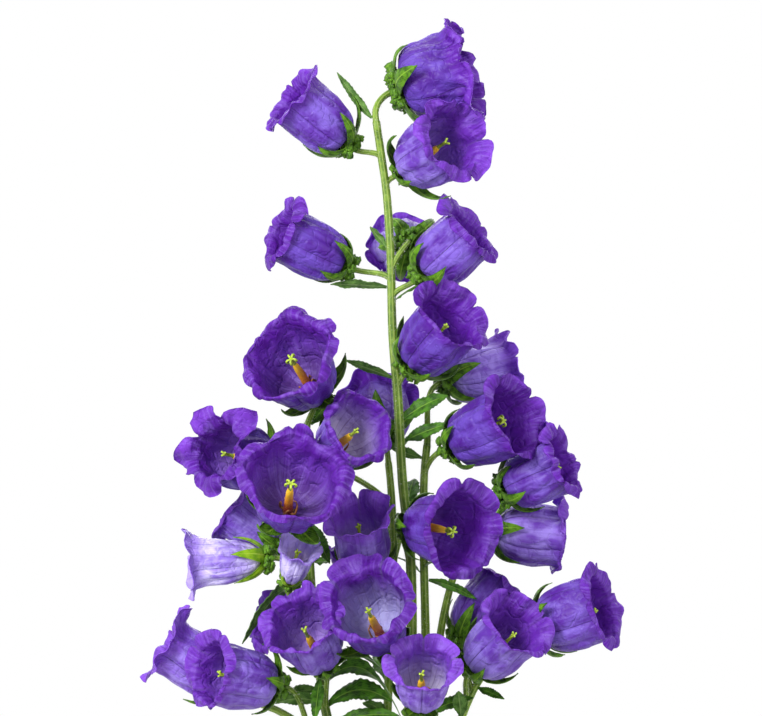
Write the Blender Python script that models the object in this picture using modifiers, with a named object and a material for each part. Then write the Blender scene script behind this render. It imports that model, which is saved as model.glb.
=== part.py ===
"""Canterbury bells in a vase: seven branched flower stems standing in a plain glazed vase.

Metres, +Z up. The origin is the middle of the vase's flat foot, and the bouquet faces -Y.
Each flower is a corolla, a thin five-lobed bell, over a calyx of five green sepals. Its stalk,
calyx and pistil grew from the stem, so they are joined to it. Every corolla and every leaf is a
piece of its own, set GAP away from the stem that carries it.
"""

import math

import bmesh
import bpy
from mathutils import Matrix, Vector

MM = 0.001
GAP = 0.35 * MM

# Vase: (height, outer radius) up its side, in millimetres
VASE_SIDE = ((0, 40), (3, 43), (30, 49), (70, 53), (115, 51.5), (160, 47), (186, 47), (195, 49))
VASE_WALL = 4.5 * MM
VASE_FLOOR = 8 * MM
VASE_STEPS = 28
VASE_RIM_RISE = 0.8 * MM
VASE_FOOT_EDGE = (3 * MM, 2 * MM)
# The inner side starts at the first height of VASE_SIDE above this
VASE_INSIDE_FROM = 16 * MM
WELD_DISTANCE = 0.01 * MM

# A flower of full size, in millimetres: (radius at the lobes, height there, radius between the
# lobes, height there), measured from the top of the receptacle along the flower's axis
FULL_LENGTH = 44
FULL_COROLLA = (
    (2.6, 0.8, 2.6, 0.8),
    (13.4, 5.2, 13.4, 5.2),
    (17.2, 18.0, 17.2, 18.0),
    (17.8, 36.0, 17.2, 35.0),
    (24.5, 43.0, 21.0, 39.5),
)
HOLE_RADIUS = 2.6 * MM
PETAL_WALL = 0.8 * MM
# The same for the stalk's end, receptacle, sepals and pistil; here the lobes are the sepals
FULL_CORE = (
    (1.3, -7.0, 1.3, -7.0),
    (3.4, -2.8, 3.4, -2.8),
    (8.6, 0.1, 6.4, -0.7),
    (20.5, 8.0, 7.6, 0.3),
    (8.2, 1.1, 6.0, 0.6),
    (1.9, 0.1, 1.9, 0.1),
    (1.9, 17.0, 1.9, 17.0),
    (1.2, 31.0, 1.2, 31.0),
)
LOBES = 5
NECK_HEIGHT = -5.0
STALK_RADIUS = 1.5 * MM
STALK_PULL = 0.35
STALK_STEPS = 4
ROUTE_STEP = 36 * MM
STEM_ROUNDNESS = 2
STALK_ROUNDNESS = 1

# Stems, each its radii at the foot and the top and the points of its route, in millimetres
STEMS = {
    "stem_main": (
        3.1, 1.9,
        ((8, 0, 9), (12, 1, 110), (15, 1, 195), (17, 1, 250), (16.5, 1, 302), (12, 1, 346),
         (9.5, 1, 391), (6.5, 1, 429), (5.5, 1, 468), (3.5, 1, 502), (0, 1, 528), (-3, 0, 548)),
    ),
    "stem_centre": (
        2.6, 1.8,
        ((-2, 12, 9), (1, 12, 110), (3, 11, 195), (5, 12, 250), (7, 13, 302), (6, 15, 335),
         (4, 16, 358)),
    ),
    "stem_right": (
        2.6, 1.9,
        ((17, 9, 9), (20, 9, 110), (24, 8, 195), (25, 8, 250), (24, 8, 302), (24, 8, 345),
         (26, 8, 368)),
    ),
    "stem_upper_right": (
        2.4, 1.7,
        ((20, 20, 9), (24, 19, 110), (29, 18, 195), (32, 16, 250), (40, 14, 290), (52, 10, 318),
         (63, 6, 333)),
    ),
    "stem_lower_right": (
        2.8, 1.7,
        ((25, -1, 9), (30, 0, 110), (36, 1, 190), (45, 4, 214), (54, 7, 233), (67, 9, 249),
         (80, 8, 262)),
    ),
    "stem_left": (
        3.0, 1.8,
        ((-14, 5, 9), (-20, 5, 110), (-27, 5, 195), (-32, 5, 225), (-37, 4, 265), (-40, 3, 310),
         (-42, 2, 350), (-41, 1, 380)),
    ),
    "stem_lower_left": (
        2.6, 1.7,
        ((-24, -3, 9), (-29, -2, 110), (-35, 1, 190), (-44, 5, 208), (-57, 9, 217),
         (-70, 14, 221)),
    ),
}

# Flowers: stem, height at which the stalk leaves it, base, middle of the mouth, width factor,
# turn about the axis in degrees. The places are in millimetres.
FLOWERS = {
    "bell_01": ("stem_main", 522, (-20, 0, 534), (-53, -8, 561), 0.92, 10),
    "bell_02": ("stem_main", 546, (12, 6, 564), (49, 1, 575), 1.30, 30),
    "bell_03": ("stem_main", 508, (15, -3, 519), (43, -33, 536), 1.00, 0),
    "bell_04": ("stem_main", 452, (-21, 0, 466), (-61, -12, 485), 0.88, 20),
    "bell_05": ("stem_main", 444, (24, -2, 461), (54, -10, 488), 0.95, 5),
    "bell_06": ("stem_main", 460, (15, 12, 478), (11, 54, 475), 0.85, 0),
    "bell_07": ("stem_main", 392, (18, -6, 411), (42, -26, 439), 1.00, 15),
    "bell_08": ("stem_right", 362, (38, 16, 401), (72, 32, 409), 0.85, 15),
    "bell_09": ("stem_right", 345, (41, -2, 366), (78, -24, 382), 1.03, 30),
    "bell_10": ("stem_left", 372, (-38, -14, 396), (-53, -50, 418), 1.10, 0),
    "bell_11": ("stem_centre", 322, (-27, -16, 363), (-9, -48, 379), 0.92, 25),
    "bell_12": ("stem_centre", 350, (2, 22, 372), (-2, 58, 392), 0.90, 0),
    "bell_13": ("stem_left", 330, (-64, 0, 355), (-94, -27, 364), 1.00, 10),
    "bell_14": ("stem_left", 312, (-51, -44, 330), (-46, -76, 353), 1.22, 15),
    "bell_15": ("stem_left", 280, (-57, 12, 310), (-85, 24, 331), 0.86, 0),
    "bell_16": ("stem_left", 270, (-66, -12, 303), (-109, -14, 300), 0.84, 20),
    "bell_17": ("stem_left", 258, (-50, -19, 291), (-44, -37, 312), 0.62, 0),
    "bell_18": ("stem_centre", 262, (-8, -8, 297), (-13, -28, 329), 0.86, 30),
    "bell_19": ("stem_centre", 238, (0, -28, 261), (-9, -64, 284), 1.04, 5),
    "bell_20": ("stem_left", 214, (-33, -22, 248), (-45, -54, 273), 0.93, 10),
    "bell_21": ("stem_left", 240, (-42, 20, 257), (-65, 1, 268), 0.74, 0),
    "bell_22": ("stem_lower_left", 214, (-86, 16, 231), (-123, 14, 256), 0.95, 15),
    "bell_23": ("stem_lower_left", 200, (-60, -16, 234), (-99, -38, 243), 0.95, 0),
    "bell_24": ("stem_main", 290, (19, -12, 322), (48, -45, 318), 1.02, 25),
    "bell_25": ("stem_upper_right", 326, (70, 8, 341), (107, -4, 358), 0.92, 0),
    "bell_26": ("stem_upper_right", 292, (64, 24, 317), (107, 31, 312), 0.92, 30),
    "bell_27": ("stem_lower_right", 222, (46, 18, 258), (72, 30, 289), 0.92, 0),
    "bell_28": ("stem_lower_right", 216, (53, -14, 244), (78, -38, 270), 0.92, 10),
    "bell_29": ("stem_lower_right", 252, (89, 4, 265), (128, -9, 277), 1.08, 20),
    "bell_30": ("stem_main", 196, (22, -33, 226), (23, -65, 250), 0.80, 15),
    "bell_31": ("stem_centre", 295, (4, 30, 312), (-27, 34, 292), 0.72, 0),
}

# Leaves: stem, height at which it sits, heading and rise in degrees, length and width, droop of
# the tip, roll of the blade in degrees. A heading of 0 is +X and -90 is the front.
LEAVES = {
    "leaf_top": ("stem_main", 547, 180, 48, 29, 5.5, -4, 60),
    "leaf_upper": ("stem_main", 453, 187, 8, 32, 7.0, 3, 40),
    "leaf_upper_small": ("stem_main", 476, 180, 50, 14, 5.0, 0, 50),
    "leaf_folded": ("stem_main", 446, -25, 34, 17, 6.0, 2, 20),
    "leaf_bract": ("stem_main", 403, 183, 22, 28, 6.0, 1, 50),
    "leaf_crossing": ("stem_main", 380, -20, 36, 32, 10.0, 6, 65),
    "leaf_second": ("stem_main", 368, -8, 25, 27, 8.0, 2, 65),
    "leaf_under": ("stem_right", 358, 180, 20, 18, 6.0, 1, 60),
    "leaf_stem_right": ("stem_upper_right", 322, 100, 50, 20, 6.0, 2, 0),
    "leaf_cluster_front": ("stem_right", 298, -60, 20, 22, 9.0, 4, 20),
    "leaf_cluster_right": ("stem_right", 290, -5, -10, 27, 6.0, 6, 50),
    "leaf_cluster_left": ("stem_right", 294, 160, 40, 18, 8.0, 3, 0),
    "leaf_left_hanging": ("stem_left", 322, -50, -50, 26, 8.0, 2, 30),
    "leaf_big_arched": ("stem_left", 233, -24, 48, 68, 11.0, 68, 52),
    "leaf_big_low": ("stem_left", 221, -25, 40, 50, 13.0, 30, 60),
    "leaf_big_upper": ("stem_left", 241, 5, 46, 46, 8.0, 34, 58),
    "leaf_right_low": ("stem_lower_right", 214, -100, 60, 20, 8.0, 2, 0),
    "leaf_right_tip": ("stem_lower_right", 230, -30, -15, 17, 5.0, 1, 50),
    "leaf_right_bract": ("stem_upper_right", 240, -60, 40, 16, 7.0, 2, 30),
    "leaf_back": ("stem_main", 330, 80, 40, 34, 10.0, 6, 0),
    "leaf_back_low": ("stem_centre", 232, 100, 40, 40, 12.0, 10, 0),
}
# A leaf's rows: (how far along it, breadth over the full width)
LEAF_ROWS = ((0, 0.16), (0.12, 0.30), (0.30, 0.80), (0.50, 1.0), (0.70, 0.78), (0.87, 0.42), (1, 0.06))
LEAF_WALL = 0.7 * MM
LEAF_FOLD = 0.35
# The fold grows over the first part of the blade
LEAF_FOLD_GROWTH = 1 / 6

COLOURS = {
    "glaze": ((0.86, 0.85, 0.81), 0.25),
    "stem": ((0.22, 0.36, 0.09), 0.55),
    "corolla": ((0.16, 0.05, 0.50), 0.50),
    "leaf": ((0.06, 0.20, 0.05), 0.55),
}


def clear_scene():
    for obj in list(bpy.data.objects):
        bpy.data.objects.remove(obj, do_unlink=True)


def new_collection(name):
    collection = bpy.data.collections.new(name)
    bpy.context.scene.collection.children.link(collection)
    return collection


def new_material(name):
    colour, roughness = COLOURS[name]
    material = bpy.data.materials.new(name)
    material.use_nodes = True
    shader = material.node_tree.nodes["Principled BSDF"]
    shader.inputs["Base Color"].default_value = (*colour, 1)
    shader.inputs["Roughness"].default_value = roughness
    shader.inputs["Metallic"].default_value = 0
    return material


def add_object(name, data, collection, material_name):
    """Places data in the scene with a material of its own."""
    obj = bpy.data.objects.new(name, data)
    data.materials.append(new_material(material_name))
    collection.objects.link(obj)
    return obj


def make_helper(obj):
    """An operand of a Boolean: it is drawn as wire and left out of the model."""
    obj.hide_render = True
    obj.display_type = "WIRE"


def catmull_rom(points, spacing):
    """A smooth route through the points, with a point about every spacing of its length."""
    ends = [2 * points[0] - points[1], *points, 2 * points[-1] - points[-2]]
    route = []
    for before, start, end, after in zip(ends, ends[1:], ends[2:], ends[3:]):
        count = max(1, round((end - start).length / spacing))
        for i in range(count):
            t = i / count
            route.append(
                0.5 * (2 * start + (end - before) * t
                       + (2 * before - 5 * start + 4 * end - after) * t**2
                       + (3 * start - before - 3 * end + after) * t**3)
            )
    route.append(points[-1].copy())
    return route


def bezier(start, start_pull, end_pull, end, count):
    """Points of a cubic curve from start to end."""
    route = []
    for i in range(count + 1):
        t = i / count
        route.append((1 - t)**3 * start + 3 * (1 - t)**2 * t * start_pull
                     + 3 * (1 - t) * t**2 * end_pull + t**3 * end)
    return route


def tube(name, route, start_radius, end_radius, roundness, collection):
    """A closed tube along the route, as a mesh with welded caps."""
    curve = bpy.data.curves.new(name + "_route", "CURVE")
    curve.dimensions = "3D"
    curve.bevel_depth = start_radius
    curve.bevel_resolution = roundness
    curve.use_fill_caps = True
    spline = curve.splines.new("POLY")
    spline.points.add(len(route) - 1)
    for i, (point, place) in enumerate(zip(spline.points, route)):
        point.co = (*place, 1)
        along = i / (len(route) - 1)
        point.radius = 1 + (end_radius / start_radius - 1) * along
    guide = bpy.data.objects.new(name + "_route", curve)
    collection.objects.link(guide)
    graph = bpy.context.evaluated_depsgraph_get()
    mesh = bpy.data.meshes.new_from_object(guide.evaluated_get(graph))
    bpy.data.objects.remove(guide)
    welded = bmesh.new()
    welded.from_mesh(mesh)
    bmesh.ops.remove_doubles(welded, verts=welded.verts, dist=WELD_DISTANCE)
    bmesh.ops.recalc_face_normals(welded, faces=welded.faces)
    welded.to_mesh(mesh)
    welded.free()
    return add_object(name, mesh, collection, "stem")


def flower_frame(flower):
    """The matrix from the flower's own axes, mouth along +Z, and its length over the full one."""
    _, _, base, mouth, _, turn = flower
    base = Vector(base) * MM
    axis = Vector(mouth) * MM - base
    aimed = axis.to_track_quat("Z", "Y").to_matrix().to_4x4()
    turned = Matrix.Rotation(math.radians(turn), 4, "Z")
    return Matrix.Translation(base) @ aimed @ turned, axis.length / (FULL_LENGTH * MM)


def lobed_ring(shape, section, width, length, first_is_lobe):
    """One ring of vertices that goes in and out between the lobe's size and the gap's."""
    lobe_radius, lobe_height, gap_radius, gap_height = section
    ring = []
    for i in range(2 * LOBES):
        at_lobe = (i % 2 == 0) == first_is_lobe
        radius = (lobe_radius if at_lobe else gap_radius) * width * MM
        height = (lobe_height if at_lobe else gap_height) * length * MM
        angle = math.pi * i / LOBES
        ring.append(shape.verts.new((radius * math.cos(angle), radius * math.sin(angle), height)))
    return ring


def widen_ring(ring, least_radius):
    """Moves a ring's vertices out to the least radius that lets the pistil through."""
    for vertex in ring:
        if vertex.co.xy.length < least_radius:
            vertex.co.xy = vertex.co.xy.normalized() * least_radius


def bridge(shape, lower, upper):
    count = len(lower)
    for i in range(count):
        j = (i + 1) % count
        shape.faces.new((lower[i], lower[j], upper[j], upper[i]))


def finish_mesh(shape, name, matrix):
    """The shape as a mesh in its place. A closed shape gets its faces pointing out."""
    if all(edge.is_manifold for edge in shape.edges):
        bmesh.ops.recalc_face_normals(shape, faces=shape.faces)
    shape.transform(matrix)
    mesh = bpy.data.meshes.new(name)
    shape.to_mesh(mesh)
    shape.free()
    return mesh


def make_corolla(name, flower, collection):
    """The bell: an open lobed surface from the hole at its base to its rim, made solid inwards."""
    matrix, length = flower_frame(flower)
    width = flower[4]
    shape = bmesh.new()
    rings = [lobed_ring(shape, section, width, length, False) for section in FULL_COROLLA]
    widen_ring(rings[0], HOLE_RADIUS)
    for lower, upper in zip(rings, rings[1:]):
        bridge(shape, lower, upper)
    obj = add_object(name, finish_mesh(shape, name, matrix), collection, "corolla")
    solidify = obj.modifiers.new("wall", "SOLIDIFY")
    solidify.thickness = PETAL_WALL
    solidify.offset = -1
    return obj


def make_core(name, flower, collection):
    """The stalk's end, calyx and pistil of one flower, as one lobed turning."""
    matrix, length = flower_frame(flower)
    width = flower[4]
    shape = bmesh.new()
    rings = [lobed_ring(shape, section, width, length, True) for section in FULL_CORE]
    for lower, upper in zip(rings, rings[1:]):
        bridge(shape, lower, upper)
    shape.faces.new(rings[0])
    shape.faces.new(rings[-1])
    return add_object(name, finish_mesh(shape, name, matrix), collection, "stem")


def stem_route(name):
    points = [Vector(point) * MM for point in STEMS[name][2]]
    return catmull_rom(points, ROUTE_STEP)


def at_height(route, height):
    """The point of a rising route at a height, and the route's direction there."""
    for low, high in zip(route, route[1:]):
        if low.z <= height <= high.z:
            along = (height - low.z) / (high.z - low.z)
            return low.lerp(high, along), (high - low).normalized()
    return route[-1], (route[-1] - route[-2]).normalized()


def radius_at(name, route, height):
    start, end, _ = STEMS[name]
    along = (height - route[0].z) / (route[-1].z - route[0].z)
    return (start + (end - start) * min(max(along, 0), 1)) * MM


def make_stalk(name, flower, route, collection):
    """The flower's stalk, from inside the stem to inside the core's lower end."""
    matrix, length = flower_frame(flower)
    start, upwards = at_height(route, flower[1] * MM)
    neck = matrix @ Vector((0, 0, NECK_HEIGHT * MM * length))
    axis = (matrix.to_3x3() @ Vector((0, 0, 1))).normalized()
    pull = (neck - start).length * STALK_PULL
    points = bezier(start, start + upwards * pull, neck - axis * pull, neck, STALK_STEPS)
    return tube(name, points, STALK_RADIUS, STALK_RADIUS, STALK_ROUNDNESS, collection)


def make_stem(name, collection, helpers):
    """A stem with the stalks, calyces and pistils of its flowers, all one body."""
    start, end, _ = STEMS[name]
    route = stem_route(name)
    stem = tube(name, route, start * MM, end * MM, STEM_ROUNDNESS, collection)
    grown = bpy.data.collections.new(name + "_pieces")
    helpers.children.link(grown)
    for bell, flower in FLOWERS.items():
        if flower[0] == name:
            make_helper(make_core(bell + "_core", flower, grown))
            make_helper(make_stalk(bell + "_stalk", flower, route, grown))
    union = stem.modifiers.new("grown_together", "BOOLEAN")
    union.operation = "UNION"
    union.operand_type = "COLLECTION"
    union.collection = grown
    union.solver = "EXACT"
    return stem


def make_leaf(name, leaf, collection):
    """A folded lance-shaped blade that starts GAP off its stem and droops to its tip."""
    stem, height, heading, rise, length, width, droop, roll = leaf
    route = stem_route(stem)
    start, _ = at_height(route, height * MM)
    heading, rise = math.radians(heading), math.radians(rise)
    outwards = Vector((math.cos(heading), math.sin(heading), 0))
    forwards = outwards * math.cos(rise) + Vector((0, 0, math.sin(rise)))
    start += outwards * (radius_at(stem, route, height * MM) + GAP)
    side = outwards.cross(Vector((0, 0, 1))).normalized()
    side.rotate(Matrix.Rotation(math.radians(roll), 3, forwards))
    upwards = side.cross(forwards).normalized()
    shape = bmesh.new()
    rows = []
    for along, breadth in LEAF_ROWS:
        middle = start + forwards * length * along * MM - Vector((0, 0, droop * along**2 * MM))
        half = side * breadth * width / 2 * MM
        fold = upwards * (half.length * LEAF_FOLD * min(1, along / LEAF_FOLD_GROWTH))
        rows.append([shape.verts.new(p) for p in (middle - half + fold, middle, middle + half + fold)])
    for low, high in zip(rows, rows[1:]):
        for i in range(2):
            shape.faces.new((low[i], low[i + 1], high[i + 1], high[i]))
    obj = add_object(name, finish_mesh(shape, name, Matrix()), collection, "leaf")
    solidify = obj.modifiers.new("wall", "SOLIDIFY")
    solidify.thickness = LEAF_WALL
    solidify.offset = 0
    return obj


def make_vase(collection):
    """A turned vase: up its inside, over the rim and down its outside."""
    outer = [(radius * MM, height * MM) for height, radius in VASE_SIDE]
    inner = [(radius - VASE_WALL, height) for radius, height in outer if height > VASE_INSIDE_FROM]
    inner[-1] = (inner[-1][0], inner[-1][1] - VASE_RIM_RISE)
    inner_foot = (outer[1][0] - VASE_WALL, VASE_FLOOR + VASE_FOOT_EDGE[1])
    profile = [(0, VASE_FLOOR), (inner_foot[0] - VASE_FOOT_EDGE[0], VASE_FLOOR), inner_foot, *inner]
    profile += [(outer[-1][0] - VASE_WALL / 2, outer[-1][1] + VASE_RIM_RISE), *reversed(outer), (0, 0)]
    mesh = bpy.data.meshes.new("vase")
    edges = [(i, i + 1) for i in range(len(profile) - 1)]
    mesh.from_pydata([(radius, 0, height) for radius, height in profile], edges, [])
    vase = add_object("vase", mesh, collection, "glaze")
    screw = vase.modifiers.new("turned", "SCREW")
    screw.steps = VASE_STEPS
    screw.render_steps = VASE_STEPS
    screw.use_merge_vertices = True
    screw.merge_threshold = WELD_DISTANCE
    screw.use_smooth_shade = True
    return vase


def main():
    clear_scene()
    parts = new_collection("canterbury_bells_in_vase")
    helpers = new_collection("helpers")
    make_vase(parts)
    for name in STEMS:
        make_stem(name, parts, helpers)
    for name, flower in FLOWERS.items():
        make_corolla(name, flower, parts)
    for name, leaf in LEAVES.items():
        make_leaf(name, leaf, parts)


main()
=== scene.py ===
"""Looks of the canterbury bells in a vase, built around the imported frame.

Every bell's place, size and turn is read from its CAD node. The stems' routes and the leaves'
places repeat the figures of part.py, because a smooth line can't be read from a node.
Metres, +Z up, and the bouquet faces -Y.
"""

import math
import random

import bpy
import numpy as np
from mathutils import Matrix, Vector, noise


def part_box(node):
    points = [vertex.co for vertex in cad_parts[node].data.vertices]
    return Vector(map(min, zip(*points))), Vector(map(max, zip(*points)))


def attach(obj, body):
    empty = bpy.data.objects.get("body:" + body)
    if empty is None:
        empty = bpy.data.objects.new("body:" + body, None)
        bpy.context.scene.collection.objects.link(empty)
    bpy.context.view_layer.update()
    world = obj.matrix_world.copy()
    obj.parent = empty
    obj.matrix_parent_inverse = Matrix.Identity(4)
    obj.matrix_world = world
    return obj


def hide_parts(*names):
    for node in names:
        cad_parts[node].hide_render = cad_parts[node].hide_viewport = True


MM = 0.001
TURN = 2 * math.pi
PETALS = 5

# A full-size flower's corolla, in millimetres: (radius, height) up its side to the throat
BODY_PROFILE = ((2.6, 0.8), (8.8, 1.4), (13.4, 4.7), (16.0, 10.5), (17.2, 18.0), (17.2, 26.0),
                (16.6, 33.0), (16.9, 37.0))
# Its CAD solid: radius and height of the lobes' tips, height of the hole at the foot, and what
# the solid's wall adds to its height
FULL_TIP_RADIUS = 24.5
FULL_TIP_HEIGHT = 43.0
FULL_HOLE_HEIGHT = 0.8
WALL_HEIGHT = 0.6
# How far the lobes and the notches between them reach past the throat, and over what length
# a lobe turns back
LOBE_LENGTH = 11.0
NOTCH_LENGTH = 4.2
TURN_LENGTH = 3.4
# What folded-back lobes on the near side lose of their length, and those of the FLUSH bells
NEAR_SHORTENING = 0.40
FLUSH_SHORTENING = 0.80
# How flat the bell's side is between two corners, and how far it opens or tapers
FLAT_SIDES = 0.75
OPENING = 0.24
TAPER = 0.45
PETAL_WALL = 0.45 * MM
# Columns around a bell, rows up its body and rows out along its lobes
AROUND = 110
BODY_ROWS = 19
LOBE_ROWS = 13
# v runs from 0 at the bell's foot to this at its throat, and to about 1 at its lobes' tips
THROAT_V = 0.74
# The front and lower side, where the lobes fold back furthest
NEAR_SIDE = (0.0, -0.76, -0.65)

SEPAL_WALL = 0.45 * MM
SEPAL_ROWS = 15
SEPAL_COLUMNS = 7
# Crumpled green lumps in each gap between two sepals, in two layers
LUMPS = 6
LUMPS_A_LAYER = 3
LUMP_ROWS = 6
LUMP_COLUMNS = 9
CUP_ROWS = 22
CUP_COLUMNS = 30
CUP_RIBS = 10
PISTIL_ROWS = 26
PISTIL_COLUMNS = 16
STIGMA_ROWS = 10
STIGMA_COLUMNS = 8
STAMEN_ROWS = 12
STAMEN_COLUMNS = 7
PISTIL_HEIGHT = 30.0
# The share of the pistil that is covered in pollen
POLLEN_SHARE = 0.86

# Stems as in part.py: radii at the foot and the top, and the route, in millimetres
STEMS = {
    "stem_main": (3.1, 1.9, ((8, 0, 9), (12, 1, 110), (15, 1, 195), (17, 1, 250), (16.5, 1, 302),
        (12, 1, 346), (9.5, 1, 391), (6.5, 1, 429), (5.5, 1, 468), (3.5, 1, 502), (0, 1, 528),
        (-3, 0, 548))),
    "stem_centre": (2.6, 1.8, ((-2, 12, 9), (1, 12, 110), (3, 11, 195), (5, 12, 250), (7, 13, 302),
        (6, 15, 335), (4, 16, 358))),
    "stem_right": (2.6, 1.9, ((17, 9, 9), (20, 9, 110), (24, 8, 195), (25, 8, 250), (24, 8, 302),
        (24, 8, 345), (26, 8, 368))),
    "stem_upper_right": (2.4, 1.7, ((20, 20, 9), (24, 19, 110), (29, 18, 195), (32, 16, 250),
        (40, 14, 290), (52, 10, 318), (63, 6, 333))),
    "stem_lower_right": (2.8, 1.7, ((25, -1, 9), (30, 0, 110), (36, 1, 190), (45, 4, 214),
        (54, 7, 233), (67, 9, 249), (80, 8, 262))),
    "stem_left": (3.0, 1.8, ((-14, 5, 9), (-20, 5, 110), (-27, 5, 195), (-32, 5, 225),
        (-37, 4, 265), (-40, 3, 310), (-42, 2, 350), (-41, 1, 380))),
    "stem_lower_left": (2.6, 1.7, ((-24, -3, 9), (-29, -2, 110), (-35, 1, 190), (-44, 5, 208),
        (-57, 9, 217), (-70, 14, 221))),
}

# The stalks' radius, how far below a flower's foot its stalk ends, and how far the stalk keeps
# the stem's and the flower's direction, as a share of its reach
STALK_RADIUS = 1.45
NECK_DEPTH = 5.6
STALK_PULL = 0.35
# The length over which a stem's top is rounded
STEM_TOP = 2.0
STEM_RIBS = 7
STEM_COLUMNS = 28
STALK_COLUMNS = 18
# How much fuller the drawn stems and leaves are than their solids
STEM_FULLNESS = 1.12
LEAF_FULLNESS = 1.06
LEAF_GAP = 0.35
LEAF_WALL = 0.4 * MM
LEAF_ROWS = 48
LEAF_COLUMNS = 11
LEAF_TEETH = 12
HAIRS_A_MM = 5
HAIR_WIDTH = 0.065 * MM

# Leaves as in part.py: stem, height, heading and rise in degrees, length, width, droop, roll
LEAVES = {
    "leaf_top": ("stem_main", 547, 180, 48, 29, 5.5, -4, 60),
    "leaf_upper": ("stem_main", 453, 187, 8, 32, 7.0, 3, 40),
    "leaf_upper_small": ("stem_main", 476, 180, 50, 14, 5.0, 0, 50),
    "leaf_folded": ("stem_main", 446, -25, 34, 17, 6.0, 2, 20),
    "leaf_bract": ("stem_main", 403, 183, 22, 28, 6.0, 1, 50),
    "leaf_crossing": ("stem_main", 380, -20, 36, 32, 10.0, 6, 65),
    "leaf_second": ("stem_main", 368, -8, 25, 27, 8.0, 2, 65),
    "leaf_under": ("stem_right", 358, 180, 20, 18, 6.0, 1, 60),
    "leaf_stem_right": ("stem_upper_right", 322, 100, 50, 20, 6.0, 2, 0),
    "leaf_cluster_front": ("stem_right", 298, -60, 20, 22, 9.0, 4, 20),
    "leaf_cluster_right": ("stem_right", 290, -5, -10, 27, 6.0, 6, 50),
    "leaf_cluster_left": ("stem_right", 294, 160, 40, 18, 8.0, 3, 0),
    "leaf_left_hanging": ("stem_left", 322, -50, -50, 26, 8.0, 2, 30),
    "leaf_big_arched": ("stem_left", 233, -24, 48, 68, 11.0, 68, 52),
    "leaf_big_low": ("stem_left", 221, -25, 40, 50, 13.0, 30, 60),
    "leaf_big_upper": ("stem_left", 241, 5, 46, 46, 8.0, 34, 58),
    "leaf_right_low": ("stem_lower_right", 214, -100, 60, 20, 8.0, 2, 0),
    "leaf_right_tip": ("stem_lower_right", 230, -30, -15, 17, 5.0, 1, 50),
    "leaf_right_bract": ("stem_upper_right", 240, -60, 40, 16, 7.0, 2, 30),
    "leaf_back": ("stem_main", 330, 80, 40, 34, 10.0, 6, 0),
    "leaf_back_low": ("stem_centre", 232, 100, 40, 40, 12.0, 10, 0),
}

# Small bracts that stand beside the leaves, in the same terms
BRACTS = {
    "bract_01": ("stem_left", 236, -100, -55, 26, 7.0, 2, 10),
    "bract_02": ("stem_left", 229, 200, 5, 27, 9.0, 8, 50),
    "bract_03": ("stem_left", 222, 215, 20, 32, 8.0, 10, 60),
    "bract_04": ("stem_left", 241, 190, 42, 22, 6.0, 2, 70),
    "bract_05": ("stem_lower_right", 236, -150, 32, 17, 6.0, 2, 60),
    "bract_06": ("stem_left", 210, -20, 22, 42, 9.0, 10, 60),
    "bract_07": ("stem_left", 377, 15, 52, 23, 9.0, 2, 50),
    "bract_08": ("stem_left", 300, 10, 10, 9, 6.0, 1, 30),
    "bract_09": ("stem_left", 290, 196, -4, 37, 10.0, 32, 62),
    "bract_10": ("stem_main", 212, -60, 25, 26, 9.0, 6, 30),
    "bract_11": ("stem_right", 216, -20, 30, 30, 8.0, 6, 60),
    "bract_12": ("stem_centre", 214, -120, 35, 30, 8.0, 8, 30),
}

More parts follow.
